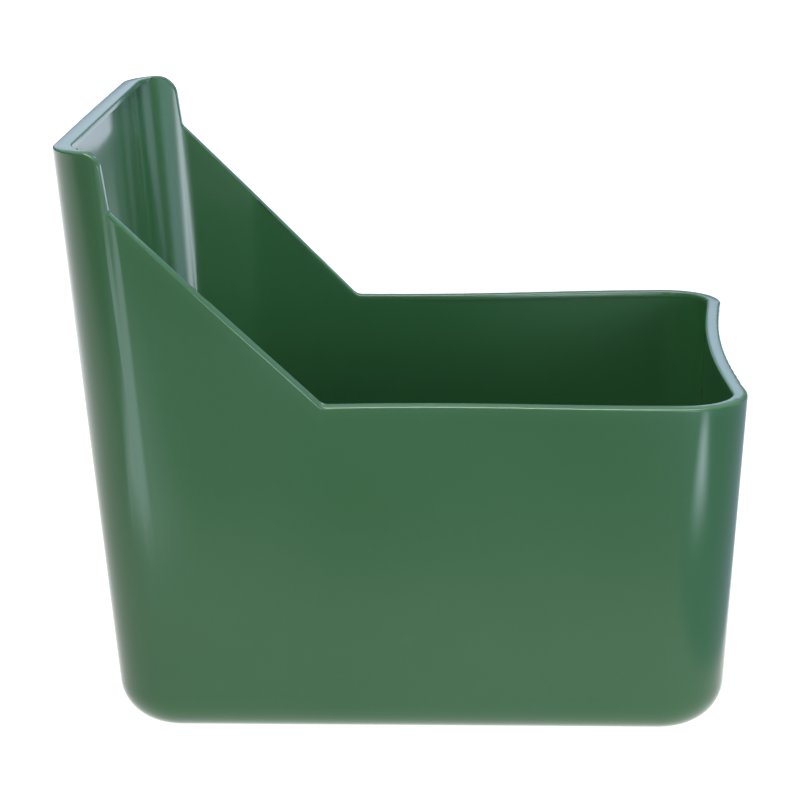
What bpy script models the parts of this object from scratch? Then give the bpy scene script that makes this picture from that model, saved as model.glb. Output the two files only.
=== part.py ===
# Livestock feed trough: one moulded tub with a level rim, a high back and two short ears.
# Metres, +Z up. The high back is on the -X side, the dished front lip on the +X side,
# and the flat base stands on Z = 0 under the middle of the tub's overall length and width.

import math

import bmesh
import bpy
from mathutils import Vector

MM = 0.001

# Main sizes, over the outer faces
OVERALL_LENGTH = 339.6 * MM
FRONT_WIDTH = 274 * MM
BACK_HEIGHT = 303 * MM
RIM_HEIGHT = 175 * MM
# The tub narrows a little towards the back
WIDTH_LOSS_AT_BACK = 6 * MM

# Draft: how far each wall leans out over the height of the rim
BACK_LEAN = 11.8 * MM
FRONT_LEAN = 12.0 * MM
SIDE_LEAN = 10.0 * MM

# Upright corners, seen from above
REAR_CORNER_RADIUS = 34 * MM
FRONT_CORNER_RADIUS = 35 * MM
# The front lip and the sides are dished inwards, and the back wall swells outwards at its top
FRONT_DISH = 6.0 * MM
SIDE_DISH = 5.8 * MM
BACK_SWELL = 0.4 * MM

# Walls and floor
WALL = 5.4 * MM
FLOOR = 6.0 * MM
BASE_FILLET = 23.2 * MM
CAVITY_FILLET = 19.0 * MM

# The lip thickens the wall on its inner side, all along the rim
LIP_DEPTH = 3.0 * MM
SIDE_LIP = 7.2 * MM
FRONT_LIP = 7.4 * MM
BACK_LIP = 9.4 * MM
REAR_LIP_RADIUS = 25.0 * MM
FRONT_LIP_RADIUS = 25.0 * MM
RIM_ROUNDING = 2.2 * MM
INNER_ROUNDING = 0.8 * MM

# Ears and shoulders, seen from the side
EAR_REACH = 26.2 * MM
EAR_LEAN = 3.9 * MM
EAR_CORNER_RADIUS = 11.0 * MM
KNEE_HEIGHT = 274 * MM
KNEE_RADIUS = 3.0 * MM
SHOULDER_RUN = 100.0 * MM
SHOULDER_FOOT_RADIUS = 7.0 * MM

# How far a cutter runs past what it cuts
OVERRUN = 12 * MM

CORNER_STEPS = 12
BOW_STEPS = 16
SIDE_STEPS = 12
FILLET_STEPS = 8
PROFILE_STEPS = 6
ROUNDING_STEPS = 3
SMOOTH_ANGLE = math.radians(32)
STRAIGHT = 1e-9
ON_PROFILE = 0.02 * MM

GREEN = (0.040, 0.135, 0.055, 1)


def clear_scene():
    for item in list(bpy.data.objects):
        bpy.data.objects.remove(item, do_unlink=True)


def back_face(z):
    """X of the back wall's outer face at height z, beside its swell."""
    lean = BACK_LEAN / RIM_HEIGHT
    return -OVERALL_LENGTH / 2 + BACK_SWELL + (BACK_HEIGHT - RIM_ROUNDING - z) * lean


def front_face(z):
    """X of the front wall's outer face at height z, at its corners."""
    lean = FRONT_LEAN / RIM_HEIGHT
    return OVERALL_LENGTH / 2 - (RIM_HEIGHT - RIM_ROUNDING - z) * lean


def half_width(x, z):
    """Half of the width over the outer faces at height z, on the line across the tub at x."""
    lean = SIDE_LEAN / RIM_HEIGHT
    widest = FRONT_WIDTH / 2 - (RIM_HEIGHT - RIM_ROUNDING - z) * lean
    loss = WIDTH_LOSS_AT_BACK / 2 * (OVERALL_LENGTH / 2 - x) / OVERALL_LENGTH
    return widest - loss


def bowed_end(centre, radius, reach, bow):
    """Half of an end wall from its corner to the middle: the corner's arc, then the bowed wall.

    The corner turns about `centre`, `reach` from the middle, and the wall goes in by `bow`.
    Points run as (distance along the tub, distance across it).
    """
    turn = 2 * math.atan(bow / reach)
    points = []
    for step in range(CORNER_STEPS + 1):
        angle = math.pi / 2 - (math.pi / 2 + turn) * step / CORNER_STEPS
        points.append((centre + radius * math.cos(angle), reach + radius * math.sin(angle)))
    if abs(turn) < STRAIGHT:
        edge, half = points[-1]
        points += [(edge, half * (1 - step / BOW_STEPS)) for step in range(1, BOW_STEPS + 1)]
        return points
    bow_radius = reach / math.sin(turn) - radius
    middle = centre + (radius + bow_radius) * math.cos(turn)
    for step in range(1, BOW_STEPS + 1):
        angle = turn * (1 - step / BOW_STEPS)
        points.append((middle - bow_radius * math.cos(angle), bow_radius * math.sin(angle)))
    return points


def plan(z, back_inset, side_inset, front_inset, rear_radius, front_radius, dish, swell):
    """Closed outline of the tub at height z, moved in from the outer faces by the insets."""
    back = back_face(z) + back_inset
    front = front_face(z) - front_inset
    rise = z / RIM_HEIGHT
    front_centre = front - front_radius
    rear_centre = back + rear_radius
    front_reach = half_width(front_centre, z) - side_inset - front_radius
    rear_reach = half_width(rear_centre, z) - side_inset - rear_radius
    front_half = bowed_end(front_centre, front_radius, front_reach, dish * rise)
    rear_half = bowed_end(-rear_centre, rear_radius, rear_reach, -swell * z / BACK_HEIGHT)
    rear_half = [(-x, y) for x, y in rear_half]
    side = []
    start, end = rear_half[0], front_half[0]
    for step in range(1, SIDE_STEPS):
        share = step / SIDE_STEPS
        dip = SIDE_DISH * rise * (1 - math.cos(2 * math.pi * share)) / 2
        side.append((start[0] + (end[0] - start[0]) * share,
                     start[1] + (end[1] - start[1]) * share - dip))
    left = rear_half[::-1] + side + front_half
    right = [(x, -y) for x, y in left[-2:0:-1]]
    return [Vector((x, y, z)) for x, y in left + right]


def outer_ring(z, inset):
    return plan(z, inset, inset, inset, REAR_CORNER_RADIUS - inset, FRONT_CORNER_RADIUS - inset,
                FRONT_DISH, BACK_SWELL)


def cavity_ring(z, inset):
    depth = WALL + inset
    return plan(z, depth, depth, depth, REAR_CORNER_RADIUS - depth, FRONT_CORNER_RADIUS - depth,
                FRONT_DISH, 0)


def mouth_ring(z):
    return plan(z, BACK_LIP, SIDE_LIP, FRONT_LIP, REAR_LIP_RADIUS, FRONT_LIP_RADIUS, FRONT_DISH, 0)


def filleted_rings(ring, bottom, fillet, top):
    """Rings of a tub that rises from a flat bottom through a quarter-round fillet to the top."""
    rings = []
    for step in range(FILLET_STEPS + 1):
        angle = math.pi / 2 * step / FILLET_STEPS
        rings.append(ring(bottom + fillet * (1 - math.cos(angle)), fillet * (1 - math.sin(angle))))
    rings.append(ring(top, 0))
    return rings


def loft(name, rings):
    """One closed solid through the rings, with a flat cap at each end."""
    shape = bmesh.new()
    loops = [[shape.verts.new(point) for point in ring] for ring in rings]
    count = len(rings[0])
    for below, above in zip(loops, loops[1:]):
        for index in range(count):
            after = (index + 1) % count
            shape.faces.new((below[index], below[after], above[after], above[index]))
    shape.faces.new(loops[0][::-1])
    shape.faces.new(loops[-1])
    bmesh.ops.recalc_face_normals(shape, faces=shape.faces)
    return new_object(name, shape)


def new_object(name, shape):
    mesh = bpy.data.meshes.new(name)
    shape.to_mesh(mesh)
    shape.free()
    made = bpy.data.objects.new(name, mesh)
    bpy.context.scene.collection.objects.link(made)
    return made


def offset_corners(corners, offset):
    """Corners of the line that runs beside the given one, `offset` to its right."""
    lines = []
    for start, end in zip(corners, corners[1:]):
        along = (end - start).normalized()
        aside = Vector((along.y, -along.x)) * offset
        lines.append((start + aside, along))
    moved = [lines[0][0]]
    for (point, along), (other, across) in zip(lines, lines[1:]):
        gap = other - point
        reach = gap.cross(across) / along.cross(across)
        moved.append(point + along * reach)
    moved.append(corners[-1] + lines[-1][0] - corners[-2])
    return moved


def round_corner(before, corner, after, radius):
    """Points of an arc that takes the place of a corner."""
    arriving = (before - corner).normalized()
    leaving = (after - corner).normalized()
    half = arriving.angle(leaving) / 2
    cut = radius / math.tan(half)
    centre = corner + (arriving + leaving).normalized() * radius / math.sin(half)
    first = corner + arriving * cut - centre
    sweep = first.angle_signed(corner + leaving * cut - centre)
    points = []
    for step in range(PROFILE_STEPS + 1):
        angle = -sweep * step / PROFILE_STEPS
        turned = Vector((first.x * math.cos(angle) - first.y * math.sin(angle),
                         first.x * math.sin(angle) + first.y * math.cos(angle)))
        points.append(centre + turned)
    return points


def rim_profile(offset):
    """The rim seen from the side, from over the back to past the front, as (x, z) points.

    It runs along the back's top, down the ear's free edge, down the shoulder and along the
    level rim. `offset` lowers it into the material.
    """
    ear_top = back_face(BACK_HEIGHT) + EAR_REACH
    knee = ear_top + EAR_LEAN
    foot = knee + SHOULDER_RUN
    corners = [Vector((-OVERALL_LENGTH, BACK_HEIGHT)), Vector((ear_top, BACK_HEIGHT)),
               Vector((knee, KNEE_HEIGHT)), Vector((foot, RIM_HEIGHT)),
               Vector((OVERALL_LENGTH, RIM_HEIGHT))]
    corners = offset_corners(corners, offset)
    radii = (EAR_CORNER_RADIUS - offset, KNEE_RADIUS + offset, SHOULDER_FOOT_RADIUS + offset)
    points = [corners[0]]
    for index, radius in enumerate(radii):
        points += round_corner(corners[index], corners[index + 1], corners[index + 2], radius)
    points.append(corners[-1])
    return points


def above_rim(name, offset):
    """A cutter that takes away all that stands over the rim's profile."""
    outline = rim_profile(offset)
    top = BACK_HEIGHT + 3 * OVERRUN
    outline += [Vector((outline[-1].x, top)), Vector((outline[0].x, top))]
    shape = bmesh.new()
    reach = FRONT_WIDTH
    near = [shape.verts.new((point.x, -reach, point.y)) for point in outline]
    far = [shape.verts.new((point.x, reach, point.y)) for point in outline]
    count = len(outline)
    for index in range(count):
        after = (index + 1) % count
        shape.faces.new((near[index], near[after], far[after], far[index]))
    shape.faces.new(near[::-1])
    shape.faces.new(far)
    bmesh.ops.recalc_face_normals(shape, faces=shape.faces)
    return as_cutter(new_object(name, shape))


def as_cutter(item):
    item.hide_render = True
    item.display_type = 'WIRE'
    return item


def cut(item, cutter):
    modifier = item.modifiers.new(cutter.name, 'BOOLEAN')
    modifier.operation = 'DIFFERENCE'
    modifier.solver = 'EXACT'
    modifier.object = cutter


def apply_modifiers(item):
    graph = bpy.context.evaluated_depsgraph_get()
    finished = bpy.data.meshes.new_from_object(item.evaluated_get(graph))
    item.modifiers.clear()
    item.data = finished


def lies_on(profile, point):
    """Whether a point lies on the profile, seen from the side."""
    spot = Vector((point.x, point.z))
    for start, end in zip(profile, profile[1:]):
        along = end - start
        share = max(0.0, min(1.0, (spot - start).dot(along) / along.length_squared))
        if (spot - start - along * share).length < ON_PROFILE:
            return True
    return False


def mark_rim_edges(item):
    """Gives the rim's outer edge the full rounding, and its inner edge the small one."""
    profile = rim_profile(0)
    shape = bmesh.new()
    shape.from_mesh(item.data)
    weight = shape.edges.layers.float.new('bevel_weight_edge')
    on_rim = {vert for vert in shape.verts if lies_on(profile, vert.co)}
    for edge in shape.edges:
        if not all(vert in on_rim for vert in edge.verts):
            continue
        tops = [face for face in edge.link_faces if all(vert in on_rim for vert in face.verts)]
        if len(tops) != 1:
            continue
        wall = next(face for face in edge.link_faces if face not in tops)
        centre = wall.calc_center_median()
        outward = wall.normal.x * centre.x + wall.normal.y * centre.y > 0
        edge[weight] = 1 if outward else INNER_ROUNDING / RIM_ROUNDING
    shape.to_mesh(item.data)
    shape.free()


def round_rim(item):
    modifier = item.modifiers.new('rim rounding', 'BEVEL')
    modifier.width = RIM_ROUNDING
    modifier.segments = ROUNDING_STEPS
    modifier.limit_method = 'WEIGHT'
    modifier.offset_type = 'OFFSET'


def green_plastic():
    material = bpy.data.materials.new('green_plastic')
    material.use_nodes = True
    shader = material.node_tree.nodes['Principled BSDF']
    shader.inputs['Base Color'].default_value = GREEN
    shader.inputs['Roughness'].default_value = 0.16
    shader.inputs['Metallic'].default_value = 0
    material.diffuse_color = GREEN
    return material


def build_tub():
    ceiling = BACK_HEIGHT + OVERRUN
    tub = loft('trough_tub', filleted_rings(outer_ring, 0, BASE_FILLET, ceiling))
    cavity = as_cutter(loft('cavity', filleted_rings(cavity_ring, FLOOR, CAVITY_FILLET, ceiling)))
    mouth_floor = RIM_HEIGHT - 2 * LIP_DEPTH
    mouth_top = ceiling + OVERRUN
    mouth = as_cutter(loft('mouth', [mouth_ring(mouth_floor), mouth_ring(mouth_top)]))
    over_lip = above_rim('over_lip', LIP_DEPTH)
    over_rim = above_rim('over_rim', 0)
    cut(cavity, over_lip)
    for cutter in (over_rim, cavity, mouth):
        cut(tub, cutter)
    apply_modifiers(tub)
    mark_rim_edges(tub)
    round_rim(tub)
    tub.data.materials.clear()
    tub.data.materials.append(green_plastic())
    tub.data.shade_smooth()
    tub.data.set_sharp_from_angle(angle=SMOOTH_ANGLE)
    return tub


clear_scene()
build_tub()
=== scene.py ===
# Green feed trough in a plain white studio
import math

import bpy
from mathutils import Matrix, Vector


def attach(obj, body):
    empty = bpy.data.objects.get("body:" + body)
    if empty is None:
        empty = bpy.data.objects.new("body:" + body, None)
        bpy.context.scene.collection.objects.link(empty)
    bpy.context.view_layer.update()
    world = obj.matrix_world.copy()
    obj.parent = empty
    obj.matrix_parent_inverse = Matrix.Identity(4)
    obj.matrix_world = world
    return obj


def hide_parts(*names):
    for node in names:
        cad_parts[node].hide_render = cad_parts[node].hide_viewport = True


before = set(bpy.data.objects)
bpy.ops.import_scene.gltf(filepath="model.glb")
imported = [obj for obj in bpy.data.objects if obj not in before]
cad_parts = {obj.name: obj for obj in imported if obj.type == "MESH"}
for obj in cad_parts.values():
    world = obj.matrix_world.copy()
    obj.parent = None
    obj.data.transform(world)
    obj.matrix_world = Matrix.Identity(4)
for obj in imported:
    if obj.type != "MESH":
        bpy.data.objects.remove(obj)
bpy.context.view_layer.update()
scene = bpy.context.scene
mm = 0.001
print("frame loaded:", sorted(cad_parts))


# the tub's sizes; x runs from the back to the front, and the near side is at -y
tub = {
    "backHeight": 303 * mm,
    "rimHeight": 175 * mm,
    "backAtFloor": -149.1 * mm,
    "frontAtFloor": 158.7 * mm,
    "halfWidthAtFloor": 126.8 * mm,
    "narrowerAtBack": 2.9 * mm,  # on each side
    "backLean": 11.8 / 175,
    "frontLean": 11.2 / 175,
    "sideLean": 10.0 / 175,
    "rearCorner": 32 * mm,
    "frontCorner": 33 * mm,
    "cornerSteps": 14,
    "floorRounding": 21.5 * mm,
    "floorSteps": 9,

    # dished front and sides, and a back that swells outside and is wavy inside
    "columns": 18,  # strips of a wall, so that it can bend
    "columnsAlong": (-114 * mm, 128 * mm),
    "columnsAcross": 94 * mm,  # either way from the middle
    "frontDish": 6.0 * mm,
    "sideDish": 5.8 * mm,
    "sideDishAlong": (-118 * mm, 132 * mm),
    "sidesBeyond": 80 * mm,  # what lies further out than this is a side
    "backSwell": 0.4 * mm,
    "endBowHalf": 108 * mm,  # half the width that the front's dish and the back's swell take
    "endBowPower": 1.25,
    "innerWave": 0.9 * mm,
    "innerWaveHalf": 90 * mm,

    # hollow, with a thicker lip under the rim
    "wall": 5.4 * mm,
    "sideWall": 6.9 * mm,
    "floorThickness": 6.0 * mm,
    "cavityRounding": 17 * mm,
    "lipWidths": (9.4 * mm, 7.2 * mm, 7.4 * mm),  # back, sides, front
    "lipCorner": 25 * mm,
    "lipDepth": 3.0 * mm,
    "mouthDepth": 6 * mm,
    "backLipEnd": -157 * mm,
    "backLipSlope": 6 * mm,
    "sideLipStart": -122 * mm,
    "sideLipGrows": 60 * mm,
    "lipCornerShift": 0.6,  # at the shoulder's foot, in depths of the lip
    "lipClear": 4 * mm,  # how far the lip's line keeps from the rim where there is no lip

    # rim, as seen from the side
    "earTop": -143.3 * mm,
    "knee": (-139.4 * mm, 274 * mm),
    "shoulderRun": 100 * mm,
    "nearEar": 8.5 * mm,
    "farEar": 13 * mm,
    "kneeRounding": 3 * mm,
    "shoulderFootRounding": 7 * mm,
    "bendSteps": 8,
    "rimTilt": 0.42 * mm,
    "outerRounding": 1.1 * mm,
    "innerRounding": 0.8 * mm,
    "rimSteps": 4,
    "smoothUnder": 40,  # degrees between two faces

    # rough blocks and cutters, which end outside the finished tub
    "blockTop": 315 * mm,
    "cavityTop": 320 * mm,
    "mouthTop": 323 * mm,
    "cutterTop": 360 * mm,
    "cutterHalfLength": 400 * mm,
    "cutterHalfWidth": 250 * mm,
    "lipCutterHalfWidth": 260 * mm,
}
middleX = (tub["frontAtFloor"] + tub["backAtFloor"]) / 2


def makeActive(item):
    if bpy.context.mode != 'OBJECT':
        bpy.ops.object.mode_set(mode='OBJECT')
    bpy.ops.object.select_all(action='DESELECT')
    item.select_set(True)
    bpy.context.view_layer.objects.active = item


def pick(item, kind, test):
    # selects the vertices, edges or faces that pass the test, and stays in edit mode
    bpy.ops.object.mode_set(mode='EDIT')
    bpy.ops.mesh.select_mode(type=kind)
    bpy.ops.mesh.select_all(action='DESELECT')
    bpy.ops.object.mode_set(mode='OBJECT')
    mesh = item.data
    parts = {'VERT': mesh.vertices, 'EDGE': mesh.edges, 'FACE': mesh.polygons}[kind]
    found = [part.index for part in parts if test(part)]
    for index in found:
        parts[index].select = True
    bpy.ops.object.mode_set(mode='EDIT')


def leanWalls(block, levels, insets):
    # moves the sides of the bottom and of the top out to the leaning walls, less each wall's inset
    back, side, front = insets
    walls = ((Vector((-1, 0, 0)), tub["backLean"], back),
             (Vector((1, 0, 0)), tub["frontLean"], front),
             (Vector((0, -1, 0)), tub["sideLean"], side),
             (Vector((0, 1, 0)), tub["sideLean"], side))
    centre = Vector((middleX, 0, 0))
    for level in levels:
        for outward, lean, inset in walls:
            pick(block, 'VERT', lambda v: abs(v.co.z - level) < mm and (v.co - centre).dot(outward) > 0)
            bpy.ops.transform.translate(value=outward * (lean * level - inset))
    for way in (-1, 1):
        pick(block, 'VERT', lambda v: v.co.x < middleX and v.co.y * way > 0)
        bpy.ops.transform.translate(value=(0, -way * tub["narrowerAtBack"], 0))


def roundUprights(block, corners):
    # the rear pair of upright edges first, then the front pair
    for end, radius in zip((-1, 1), corners):
        def upright(edge):
            a, b = (block.data.vertices[i].co for i in edge.vertices)
            return abs(a.z - b.z) > block.dimensions.z / 2 and (a.x + b.x) * end > 0
        pick(block, 'EDGE', upright)
        bpy.ops.mesh.bevel(offset=radius, offset_type='OFFSET', segments=tub["cornerSteps"],
                           affect='EDGES', clamp_overlap=False)


def cutColumns(block):
    # upright cuts through the walls, whose normals are nearly along y or x, and not the corners
    fromX, toX = tub["columnsAlong"]
    halfY = tub["columnsAcross"]
    nearly = 0.98
    for step in range(1, tub["columns"]):
        share = step / tub["columns"]
        pick(block, 'FACE', lambda f: abs(f.normal.y) > nearly)
        bpy.ops.mesh.bisect(plane_co=(fromX + (toX - fromX) * share, 0, 0), plane_no=(1, 0, 0))
        pick(block, 'FACE', lambda f: abs(f.normal.x) > nearly)
        bpy.ops.mesh.bisect(plane_co=(0, -halfY + 2 * halfY * share, 0), plane_no=(0, 1, 0))


def bendWalls(block, swell, wave):
    # every bend grows evenly with the height above the floor
    fromX, toX = tub["sideDishAlong"]
    bpy.ops.object.mode_set(mode='OBJECT')
    for index in range(len(block.data.vertices)):
        at = block.data.vertices[index].co.copy()
        move = Vector((0, 0, 0))
        bow = (1 - min(1, abs(at.y) / tub["endBowHalf"]) ** 2) ** tub["endBowPower"]
        if at.x > middleX:
            move.x -= tub["frontDish"] * (at.z / tub["rimHeight"]) * bow
        else:
            move.x -= swell * at.z / tub["backHeight"] * bow
            if abs(at.y) < tub["innerWaveHalf"]:
                turn = math.sin(math.pi * at.y / tub["innerWaveHalf"])
                move.x += wave * at.z / tub["backHeight"] * turn
        share = (at.x - fromX) / (toX - fromX)
        if abs(at.y) > tub["sidesBeyond"] and 0 < share < 1:
            bow = (1 - math.cos(2 * math.pi * share)) / 2
            move.y -= math.copysign(tub["sideDish"] * (at.z / tub["rimHeight"]) * bow, at.y)
        if move.length > 0:
            pick(block, 'VERT', lambda v: v.index == index)
            bpy.ops.transform.translate(value=move)


def roundFoot(block, bottom, rounding):
    def low(edge):
        return all(block.data.vertices[i].co.z < bottom + mm for i in edge.vertices)
    pick(block, 'EDGE', low)
    bpy.ops.mesh.bevel(offset=rounding, offset_type='OFFSET', segments=tub["floorSteps"],
                       affect='EDGES', clamp_overlap=False)


def roughTub(name, bottom, top, insets, corners, rounding=0, swell=0, wave=0):
    # a closed block with the tub's walls, each moved in by its inset (back, side, front)
    length = tub["frontAtFloor"] - tub["backAtFloor"]
    width = 2 * tub["halfWidthAtFloor"]
    bpy.ops.mesh.primitive_cube_add(size=1, location=(middleX, 0, (bottom + top) / 2),
                                    scale=(length, width, top - bottom))
    block = bpy.context.object
    block.name = name
    makeActive(block)
    bpy.ops.object.transform_apply(location=True, rotation=True, scale=True)
    leanWalls(block, (bottom, top), insets)
    roundUprights(block, corners)
    cutColumns(block)
    bendWalls(block, swell, wave)
    if rounding:
        roundFoot(block, bottom, rounding)
    bpy.ops.object.mode_set(mode='OBJECT')
    return block


def rimLine(earRounding):
    # the rim from the back to the front, as (x, z) points, with its three bends rounded
    end = tub["cutterHalfLength"]
    kneeX, kneeZ = tub["knee"]
    corners = [Vector(corner) for corner in (
        (-end, tub["backHeight"]),
        (tub["earTop"], tub["backHeight"]),
        (kneeX, kneeZ),
        (kneeX + tub["shoulderRun"], tub["rimHeight"]),
        (end, tub["rimHeight"]))]
    radii = (earRounding, tub["kneeRounding"], tub["shoulderFootRounding"])
    points = [corners[0]]
    for before, corner, after, radius in zip(corners, corners[1:], corners[2:], radii):
        a, b = (before - corner).normalized(), (after - corner).normalized()
        half = a.angle(b) / 2
        start = corner + a * radius / math.tan(half)
        stop = corner + b * radius / math.tan(half)
        centre = corner + (a + b).normalized() * radius / math.sin(half)
        for step in range(tub["bendSteps"] + 1):
            spot = start.lerp(stop, step / tub["bendSteps"]) - centre
            points.append(centre + spot.normalized() * radius)
    points.append(corners[-1])
    return points


def lipLine():
    # the lip's lower edge: under the back's top and under the sides, with none on the ears
    end, drop, clear = tub["cutterHalfLength"], tub["lipDepth"], tub["lipClear"]
    grows, slant = tub["sideLipGrows"], drop * math.sqrt(2)
    top, level = tub["backHeight"], tub["rimHeight"]
    kneeX, kneeZ = tub["knee"]
    startX = tub["sideLipStart"]
    startZ = kneeZ - (startX - kneeX) * (kneeZ - level) / tub["shoulderRun"]
    return [Vector(point) for point in (
        (-end, top - drop),
        (tub["backLipEnd"], top - drop),
        (tub["backLipEnd"] + tub["backLipSlope"], top + clear),
        (tub["earTop"] + clear, top + clear),
        (kneeX + clear, kneeZ + clear),
        (startX - clear, startZ + clear + clear),
        (startX + grows, startZ - grows - slant),
        (kneeX + tub["shoulderRun"] - drop * tub["lipCornerShift"], level - drop),
        (end, level - drop))]


def sideCutter(name, line, fromY, toY):
    # one vertex is drawn out along the line, closed over the top and pulled across the tub
    end, top = tub["cutterHalfLength"], tub["cutterTop"]
    line = line + [Vector((end, top)), Vector((-end, top))]
    bpy.ops.mesh.primitive_plane_add(size=1, location=(0, 0, 0))
    cutter = bpy.context.object
    cutter.name = name
    makeActive(cutter)
    bpy.ops.object.mode_set(mode='EDIT')
    bpy.ops.mesh.select_all(action='SELECT')
    bpy.ops.mesh.merge(type='CENTER')
    bpy.ops.transform.translate(value=(line[0].x, fromY, line[0].y))
    for a, b in zip(line, line[1:]):
        bpy.ops.mesh.extrude_region_move(TRANSFORM_OT_translate={"value": (b.x - a.x, 0, b.y - a.y)})
    bpy.ops.mesh.select_all(action='SELECT')
    bpy.ops.mesh.edge_face_add()
    bpy.ops.mesh.extrude_region_move(TRANSFORM_OT_translate={"value": (0, toY - fromY, 0)})
    bpy.ops.mesh.select_all(action='SELECT')
    bpy.ops.mesh.normals_make_consistent(inside=False)

    # extrude adds its faces in another order on every run, so they are sorted from a place off every axis
    scene.cursor.location = (-1.1, -2.3, 3.7)
    bpy.ops.mesh.sort_elements(type='CURSOR_DISTANCE', elements={'VERT', 'EDGE', 'FACE'})
    bpy.ops.object.mode_set(mode='OBJECT')
    return cutter


def subtract(item, *cutters):
    makeActive(item)
    for cutter in cutters:
        modifier = item.modifiers.new(cutter.name, 'BOOLEAN')
        modifier.operation = 'DIFFERENCE'
        modifier.solver = 'EXACT'
        modifier.object = cutter
        bpy.ops.object.modifier_apply(modifier=modifier.name)


wall, sideWall = tub["wall"], tub["sideWall"]
shell = roughTub("trough_shell", 0, tub["blockTop"], (0, 0, 0), (tub["rearCorner"], tub["frontCorner"]),
                 tub["floorRounding"], swell=tub["backSwell"])
cavity = roughTub("cavity", tub["floorThickness"], tub["cavityTop"], (wall, sideWall, sideWall),
                  (tub["rearCorner"] - wall, tub["frontCorner"] - sideWall),
                  tub["cavityRounding"], wave=tub["innerWave"])
mouth = roughTub("mouth", tub["rimHeight"] - tub["mouthDepth"], tub["mouthTop"], tub["lipWidths"],
                 (tub["lipCorner"], tub["lipCorner"]))
nearLine, farLine = rimLine(tub["nearEar"]), rimLine(tub["farEar"])
overNear = sideCutter("over_near", nearLine, -tub["cutterHalfWidth"], 0)
overFar = sideCutter("over_far", farLine, 0, tub["cutterHalfWidth"])
overLip = sideCutter("over_lip", lipLine(), -tub["lipCutterHalfWidth"], tub["lipCutterHalfWidth"])
subtract(cavity, overLip)
subtract(shell, overNear, overFar, cavity, mouth)
for cutter in (cavity, mouth, overNear, overFar, overLip):
    bpy.data.objects.remove(cutter, do_unlink=True)
print("tub cut out:", len(shell.data.polygons), "faces")


def onRim(point):
    # whether a point lies on the rim's line, as seen from the side
    slack = 0.03 * mm
    spot = Vector((point.x, point.z))
    profile = nearLine if point.y < 0 else farLine
    for a, b in zip(profile, profile[1:]):
        along = b - a
        share = max(0, min(1, (spot - a).dot(along) / along.length_squared))
        if (spot - a - along * share).length < slack:
            return True
    return False


def rimEdges(item):
    # (outer, inner) edges of the rim's top strip, as pairs of vertex numbers
    mesh = item.data
    top = {v.index for v in mesh.vertices if onRim(v.co)}
    facesOf = {}
    for face in mesh.polygons:
        for key in face.edge_keys:
            facesOf.setdefault(key, []).append(face)
    outer, inner = set(), set()
    for key, faces in facesOf.items():
        if key[0] not in top or key[1] not in top:
            continue
        strips = [f for f in faces if all(v in top for v in f.vertices)]
        if len(strips) != 1 or len(faces) != 2:
            continue
        side = next(f for f in faces if f not in strips)
        outward = side.normal.x * side.center.x + side.normal.y * side.center.y > 0
        (outer if outward else inner).add(key)
    return outer, inner


# the rim's top strip is filled again with faces that cross it, so that it can turn with the walls
makeActive(shell)
rimVerts = {v.index for v in shell.data.vertices if onRim(v.co)}
pick(shell, 'FACE', lambda f: all(v in rimVerts for v in f.vertices))
bpy.ops.mesh.delete(type='FACE')
bpy.ops.mesh.select_mode(type='EDGE')
bpy.ops.mesh.select_all(action='DESELECT')
bpy.ops.mesh.select_non_manifold(extend=False, use_wire=False, use_boundary=True,
                                 use_multi_face=False, use_non_contiguous=False, use_verts=False)
bpy.ops.mesh.bridge_edge_loops()
bpy.ops.object.mode_set(mode='OBJECT')

# its outer edge is lowered a little, which makes it square to the leaning wall
outerEdges, innerEdges = rimEdges(shell)
outerVerts = {v for key in outerEdges for v in key}
print("rim edges:", len(outerEdges), "outside,", len(innerEdges), "inside")
pick(shell, 'VERT', lambda v: v.index in outerVerts)
bpy.ops.transform.translate(value=(0, 0, -tub["rimTilt"]))
bpy.ops.object.mode_set(mode='OBJECT')

# both edges are rounded, the inner one less
weights = shell.data.attributes.new("bevel_weight_edge", 'FLOAT', 'EDGE')
for edge in shell.data.edges:
    key = tuple(sorted(edge.vertices))
    if key in outerEdges:
        weights.data[edge.index].value = 1
    elif key in innerEdges:
        weights.data[edge.index].value = tub["innerRounding"] / tub["outerRounding"]
bevel = shell.modifiers.new("rim rounding", 'BEVEL')
bevel.limit_method = 'WEIGHT'
bevel.width = tub["outerRounding"]
bevel.segments = tub["rimSteps"]
bevel.offset_type = 'OFFSET'
bevel.use_clamp_overlap = False
bevel.loop_slide = False
makeActive(shell)
bpy.ops.object.modifier_apply(modifier=bevel.name)
bpy.ops.object.shade_smooth_by_angle(angle=math.radians(tub["smoothUnder"]))
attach(shell, "root")
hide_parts("trough_tub")
print("tub finished:", len(shell.data.polygons), "faces")


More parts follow.
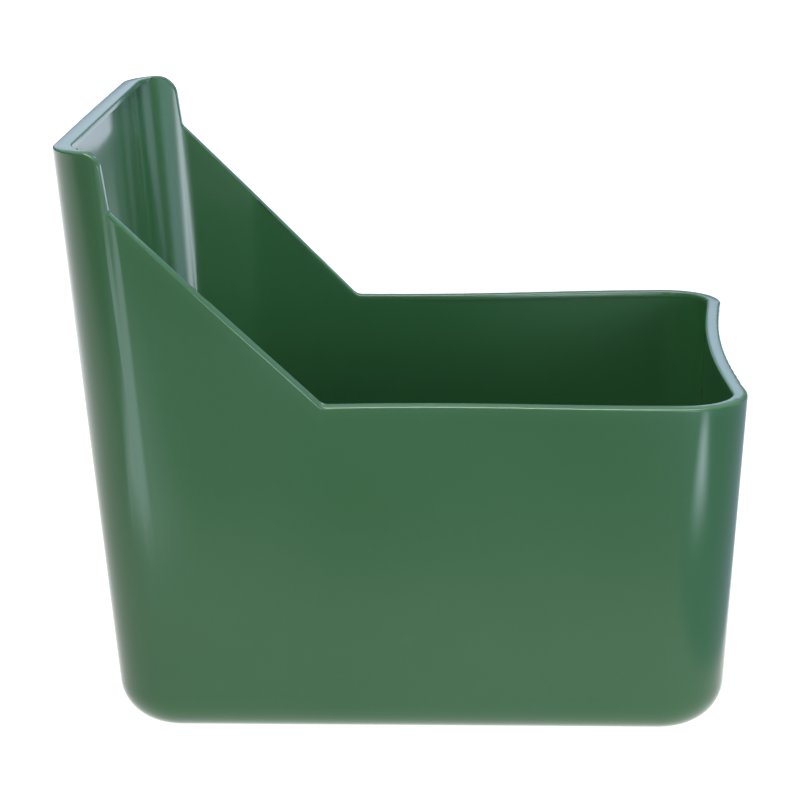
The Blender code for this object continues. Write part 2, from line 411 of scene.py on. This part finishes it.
class Nodes:
    # short ways to add and wire the nodes of a material, a lamp or the world
    def __init__(self, tree):
        self.nodes, self.links = tree.nodes, tree.links

    def put(self, socket, value):
        # value is a number, a colour, or the output of another node
        if isinstance(value, (int, float)):
            socket.default_value = value
        elif isinstance(value, tuple):
            socket.default_value = value + (1,)
        else:
            self.links.new(value, socket)

    def axes(self, source):
        node = self.nodes.new("ShaderNodeSeparateXYZ")
        self.links.new(source, node.inputs[0])
        return node.outputs["X"], node.outputs["Y"], node.outputs["Z"]

    def place(self):
        return self.nodes.new("ShaderNodeTexCoord").outputs["Object"]

    def join(self, kind, a, b=0, clamp=False):
        node = self.nodes.new("ShaderNodeMath")
        node.operation = kind
        node.use_clamp = clamp
        self.put(node.inputs[0], a)
        self.put(node.inputs[1], b)
        return node.outputs[0]

    def mix(self, share, a, b):
        node = self.nodes.new("ShaderNodeMix")
        node.data_type = 'RGBA'
        for socket, value in zip((node.inputs[0], node.inputs[6], node.inputs[7]), (share, a, b)):
            self.put(socket, value)
        return node.outputs[2]

    def ramp(self, source, low, high, start=0, end=1, smooth=False):
        node = self.nodes.new("ShaderNodeMapRange")
        node.interpolation_type = 'SMOOTHSTEP' if smooth else 'LINEAR'
        for name, value in (("From Min", low), ("From Max", high), ("To Min", start), ("To Max", end)):
            node.inputs[name].default_value = value
        self.links.new(source, node.inputs["Value"])
        return node.outputs["Result"]

    def noise(self, vector, scale, detail, roughness=0.5):
        node = self.nodes.new("ShaderNodeTexNoise")
        node.inputs["Scale"].default_value = scale
        node.inputs["Detail"].default_value = detail
        node.inputs["Roughness"].default_value = roughness
        self.links.new(vector, node.inputs["Vector"])
        return node.outputs["Fac"]

    def bump(self, height, strength, distance):
        node = self.nodes.new("ShaderNodeBump")
        node.inputs["Strength"].default_value = strength
        node.inputs["Distance"].default_value = distance
        self.links.new(height, node.inputs["Height"])
        return node


# glossy moulded plastic: deep green with faint specks and scuffs, slightly wavy, and paler along the rim,
# where the pale band is painted highlight as well as wear;
# each noise is (scale, detail, roughness), and each range is where that noise begins and is full
plastic = {
    "green": (0.0245, 0.0965, 0.0325),
    # pale green of the specks and scuffs, which also paints the highlight along the rim
    "paleWearAndSheen": (0.078, 0.170, 0.088),
    "roughness": 0.075,
    "scuffedRoughness": 0.25,
    "ior": 1.34,
    "coat": 0.5,
    "coatRoughness": 0.3,
    "coatIor": 1.4,
    "clouds": (9, 3, 0.5), "cloudRange": (0.35, 0.7), "cloudWear": 0.10,
    "specks": (900, 2, 0.7), "speckRange": (0.68, 0.76), "speckWear": 0.30,
    "scuffs": (60, 6, 0.75), "scuffRange": (0.60, 0.75), "scuffWear": 0.08,
    # the pale band under the rim: painted highlight on the rim's rounding, together with wear and scuffs
    "edgeFade": 9 * mm,
    "rimSheenAndWear": 0.23,
    "rimScuffsAndSheen": 0.35,
    "waves": (14, 2, 0.5), "waveStrength": 0.2, "waveDepth": 0.5 * mm,
    "grain": (1400, 3, 0.5), "grainStrength": 0.05, "grainDepth": 0.05 * mm,
}


def belowRim(graph, place):
    # how deep a point lies under the rim's line: below the level rim, the shoulder or the ear
    x, _, z = graph.axes(place)
    kneeX, kneeZ = tub["knee"]
    earSlope = 0.134  # of the ear's front edge, in x for each z
    shoulder = kneeX + tub["shoulderRun"] + tub["rimHeight"]  # x + z all along the shoulder
    underRim = graph.join('SUBTRACT', tub["rimHeight"], z)
    toShoulder = graph.join('SUBTRACT', shoulder, graph.join('ADD', x, z))
    underShoulder = graph.join('MULTIPLY', toShoulder, math.sqrt(0.5))
    underKnee = graph.join('MINIMUM', underShoulder, graph.join('SUBTRACT', kneeZ, z))
    earFront = graph.join('ADD', graph.join('MULTIPLY', z, -earSlope), kneeX + earSlope * kneeZ)
    behindEar = graph.join('SUBTRACT', earFront, x)
    underEar = graph.join('MINIMUM', behindEar, graph.join('SUBTRACT', tub["backHeight"], z))
    return graph.join('MAXIMUM', underRim, graph.join('MAXIMUM', underKnee, underEar))


def makePlastic():
    material = bpy.data.materials.new("green moulded plastic")
    material.use_nodes = True
    graph = Nodes(material.node_tree)
    shader = graph.nodes["Principled BSDF"]
    for name, value in (("IOR", "ior"), ("Coat Weight", "coat"), ("Coat Roughness", "coatRoughness"),
                        ("Coat IOR", "coatIor")):
        shader.inputs[name].default_value = plastic[value]
    place = graph.place()

    # the mix below is 0 on the plain green and 1 where it is palest and roughest; the specks, clouds and
    # scuffs are wear, and the pale band under the rim is painted highlight together with wear
    edge = graph.ramp(belowRim(graph, place), 0, plastic["edgeFade"], 1, 0)
    edge = graph.join('POWER', edge, 2)
    clouds = graph.ramp(graph.noise(place, *plastic["clouds"]), *plastic["cloudRange"])
    specks = graph.ramp(graph.noise(place, *plastic["specks"]), *plastic["speckRange"])
    scuffs = graph.ramp(graph.noise(place, *plastic["scuffs"]), *plastic["scuffRange"])
    wearAndSheen = graph.join('MULTIPLY', specks, plastic["speckWear"])
    wearAndSheen = graph.join('ADD', wearAndSheen, graph.join('MULTIPLY', clouds, plastic["cloudWear"]))
    wearAndSheen = graph.join('ADD', wearAndSheen, graph.join('MULTIPLY', scuffs, plastic["scuffWear"]))
    # the pale band under the rim is painted highlight on the rounding, together with wear and scuffs
    rimSheenAndWear = graph.join('ADD', plastic["rimSheenAndWear"], graph.join('MULTIPLY', scuffs, plastic["rimScuffsAndSheen"]))
    wearAndSheen = graph.join('ADD', wearAndSheen, graph.join('MULTIPLY', edge, rimSheenAndWear), clamp=True)
    graph.put(shader.inputs["Base Color"], graph.mix(wearAndSheen, plastic["green"], plastic["paleWearAndSheen"]))
    graph.put(shader.inputs["Roughness"],
              graph.ramp(wearAndSheen, 0, 1, plastic["roughness"], plastic["scuffedRoughness"]))

    waves = graph.bump(graph.noise(place, *plastic["waves"]), plastic["waveStrength"], plastic["waveDepth"])
    grain = graph.bump(graph.noise(place, *plastic["grain"]), plastic["grainStrength"], plastic["grainDepth"])
    graph.put(grain.inputs["Normal"], waves.outputs["Normal"])
    graph.put(shader.inputs["Normal"], grain.outputs["Normal"])
    graph.put(shader.inputs["Coat Normal"], waves.outputs["Normal"])
    return material


shell.data.materials.clear()
shell.data.materials.append(makePlastic())
print("plastic made")


# studio: a pale table that glows softly, a dim room, windows behind and at the right, soft boxes in front
studio = {
    "tableWhite": (0.08, 0.08, 0.08),
    "tableRoughness": 0.8,
    "tableRadius": 4,

    # the table's glow, and where along x or y one part turns into the next
    "tableFront": (0.36, 0.36, 0.35),
    "tableAround": (1.0, 1.0, 1.0),
    "tableFar": (1.11, 1.24, 1.43),
    "tableLeft": (1.48, 1.48, 1.54),
    "tableRight": (0.34, 0.44, 0.58),
    "frontToAround": (-0.62, -0.17),
    "aroundToFar": (0.3, 1.6),
    "aroundToLeft": (0.35, 0.7),
    "leftFromFront": (-0.9, 0.35),
    "aroundToRight": (0.203, 0.25),
    "rightSlant": 0.0945,

    # the room, by the height and the direction in which it is seen
    "roomLow": (0.14, 0.17, 0.28),
    "roomHigh": (0.37, 0.36, 0.48),
    "roomInFront": (0.36, 0.38, 0.42),
    "lowToHigh": (0.3, 0.5),
    "inFrontToBehind": (-0.35, 0.1),
}


def tableTop():
    # brightest behind and at the left, dimmer in front, and dim at the right, beyond the camera's view
    paper = bpy.data.materials.new("glowing table")
    paper.use_nodes = True
    graph = Nodes(paper.node_tree)
    shader = graph.nodes["Principled BSDF"]
    graph.put(shader.inputs["Base Color"], studio["tableWhite"])
    shader.inputs["Roughness"].default_value = studio["tableRoughness"]
    shader.inputs["Emission Strength"].default_value = 1
    x, y, _ = graph.axes(graph.place())
    isAround = graph.ramp(y, *studio["frontToAround"], smooth=True)
    isFar = graph.ramp(y, *studio["aroundToFar"], smooth=True)
    isLeft = graph.join('MULTIPLY',
                        graph.ramp(graph.join('MULTIPLY', x, -1), *studio["aroundToLeft"], smooth=True),
                        graph.ramp(y, *studio["leftFromFront"], smooth=True))
    beyond = graph.join('SUBTRACT', x, graph.join('MULTIPLY', y, studio["rightSlant"]))
    isRight = graph.ramp(beyond, *studio["aroundToRight"], smooth=True)
    glow = graph.mix(isAround, studio["tableFront"], studio["tableAround"])
    glow = graph.mix(isFar, glow, studio["tableFar"])
    glow = graph.mix(isLeft, glow, studio["tableLeft"])
    glow = graph.mix(isRight, glow, studio["tableRight"])
    graph.put(shader.inputs["Emission Color"], glow)
    return paper


bpy.ops.mesh.primitive_circle_add(vertices=96, radius=studio["tableRadius"], fill_type='NGON',
                                  location=(0, 0, 0))
floor = bpy.context.object
floor.name = "studio_floor"
floor.data.materials.append(tableTop())

world = bpy.data.worlds.new("studio")
scene.world = world
world.use_nodes = True
air = Nodes(world.node_tree)
_, ahead, height = air.axes(air.nodes.new("ShaderNodeTexCoord").outputs["Generated"])
room = air.mix(air.ramp(height, *studio["lowToHigh"], smooth=True), studio["roomLow"], studio["roomHigh"])
room = air.mix(air.ramp(ahead, *studio["inFrontToBehind"], smooth=True), studio["roomInFront"], room)
air.put(air.nodes["Background"].inputs["Color"], room)


def areaLamp(name, spot, turn, size, glow, colour, soft):
    # a rectangular lamp that fades towards its edges; glow is the brightness of its middle,
    # and soft is the share of its width and of its height in which it fades
    bpy.ops.object.light_add(type='AREA', location=spot, rotation=turn)
    lamp = bpy.context.object
    lamp.name = name
    lamp.data.shape = 'RECTANGLE'
    lamp.data.size, lamp.data.size_y = size
    lamp.data.energy = math.pi * size[0] * size[1]
    lamp.data.use_nodes = True
    graph = Nodes(lamp.data.node_tree)
    across, upwards, _ = graph.axes(graph.nodes.new("ShaderNodeNewGeometry").outputs["Parametric"])
    fade = glow
    for axis, reach in zip((across, upwards), soft):
        fromMiddle = graph.join('ABSOLUTE', graph.join('SUBTRACT', axis, 0.5))
        inside = graph.join('SUBTRACT', 0.5, fromMiddle)
        fade = graph.join('MULTIPLY', graph.ramp(inside, 0, reach, smooth=True), fade)
    graph.put(graph.nodes["Emission"].inputs["Strength"], fade)
    graph.put(graph.nodes["Emission"].inputs["Color"], colour)
    return lamp


def softBox(name, spot, target, size, glow, colour=(1.0, 1.0, 1.0), soft=(0.25, 0.25)):
    turn = (Vector(target) - Vector(spot)).to_track_quat('-Z', 'Y').to_euler()
    areaLamp(name, spot, turn, size, glow, colour, soft)


def poolOnTable(name, start, end, width, glow, colour, soft):
    # a strip of light that lies on the table between two points, out of the camera's view,
    # and shows only as a reflection
    a, b = Vector(start), Vector(end)
    middle, along = (a + b) / 2, b - a
    lift = 4 * mm
    turn = (math.pi, 0, math.atan2(along.y, along.x) - math.pi / 2)
    pool = areaLamp(name, (middle.x, middle.y, lift), turn, (width, along.length), glow, colour, soft)
    pool.visible_diffuse = False


softBoxes = {
    "box_left": dict(spot=(-0.48, -1.22, 0.62), target=(-0.1, -0.1, 0.55), size=(0.5, 1.2), glow=1.9),
    "box_right": dict(spot=(0.47, -1.16, 0.28), target=(-0.14, 0.13, 0.25), size=(0.9, 0.5), glow=15.0,
                      colour=(0.85, 0.95, 1.10), soft=(0.5, 0.5)),
    "box_overhead": dict(spot=(0, 0.05, 1.6), target=(0, 0, 0), size=(1.5, 1.3), glow=11.0,
                         colour=(1.0, 1.0, 0.95)),
    "window_right": dict(spot=(1.19, -1.01, 0.45), target=(-0.14, 0.13, 0.25), size=(1.3, 0.7), glow=2.6,
                         colour=(0.72, 1.0, 1.32), soft=(0.4, 0.35)),
    "window_side": dict(spot=(1.95, 0.35, 0.42), target=(-0.14, 0, 0.27), size=(1.9, 0.8), glow=2.1,
                        colour=(0.85, 1.0, 1.25), soft=(0.45, 0.3)),
    "window_behind_left": dict(spot=(-0.70, 2.9, 0.86), target=(0, 0, 0.2), size=(0.75, 0.56), glow=0.80,
                               colour=(0.93, 1.0, 1.30), soft=(0.12, 0.12)),
    "window_behind_right": dict(spot=(0.44, 2.9, 0.94), target=(0, 0, 0.2), size=(0.30, 0.42), glow=1.15,
                                colour=(0.94, 1.0, 1.5), soft=(0.12, 0.12)),
}
pools = {
    "pool_left": dict(start=(-0.26, -0.25), end=(-0.40, -1.42), width=0.30, glow=3.6,
                      colour=(0.85, 0.98, 1.15), soft=(0.38, 0.12)),
    "pool_left_wide": dict(start=(-0.42, -0.50), end=(-0.52, -1.50), width=0.36, glow=2.6,
                           colour=(0.75, 0.97, 1.20), soft=(0.5, 0.35)),
    "pool_right": dict(start=(0.31, -0.28), end=(0.70, -0.80), width=0.28, glow=8.5,
                       colour=(0.85, 0.95, 1.12), soft=(0.5, 0.42)),
}
for name, lamp in softBoxes.items():
    softBox(name, **lamp)
for name, pool in pools.items():
    poolOnTable(name, **pool)
print("studio lit:", len(softBoxes) + len(pools), "lamps")


# camera, a little above the rim on the near side; angles in radians, lengths of the lens in mm
view = {
    "position": (0.0695, -1.3822, 0.5068),
    "pitch": 0.2561,
    "yaw": -0.05632,
    "roll": -0.01761,
    "lens": 119.4,
    "sensor": 36,
    "clipStart": 0.01,
}
lens = bpy.data.cameras.new("camera")
lens.lens = view["lens"]
lens.sensor_width = view["sensor"]
lens.clip_start = view["clipStart"]
camera = bpy.data.objects.new("camera", lens)
scene.collection.objects.link(camera)
scene.camera = camera
yaw, pitch, roll = view["yaw"], view["pitch"], view["roll"]
forward = Vector((math.sin(yaw) * math.cos(pitch), math.cos(yaw) * math.cos(pitch), -math.sin(pitch)))
right = Vector((math.cos(yaw), -math.sin(yaw), 0))
up = right.cross(forward)
across = right * math.cos(roll) + up * math.sin(roll)
above = up * math.cos(roll) - right * math.sin(roll)
camera.matrix_world = Matrix((
    (across.x, above.x, -forward.x, view["position"][0]),
    (across.y, above.y, -forward.y, view["position"][1]),
    (across.z, above.z, -forward.z, view["position"][2]),
    (0, 0, 0, 1)))
scene.view_settings.view_transform = 'Standard'
print("camera ready")
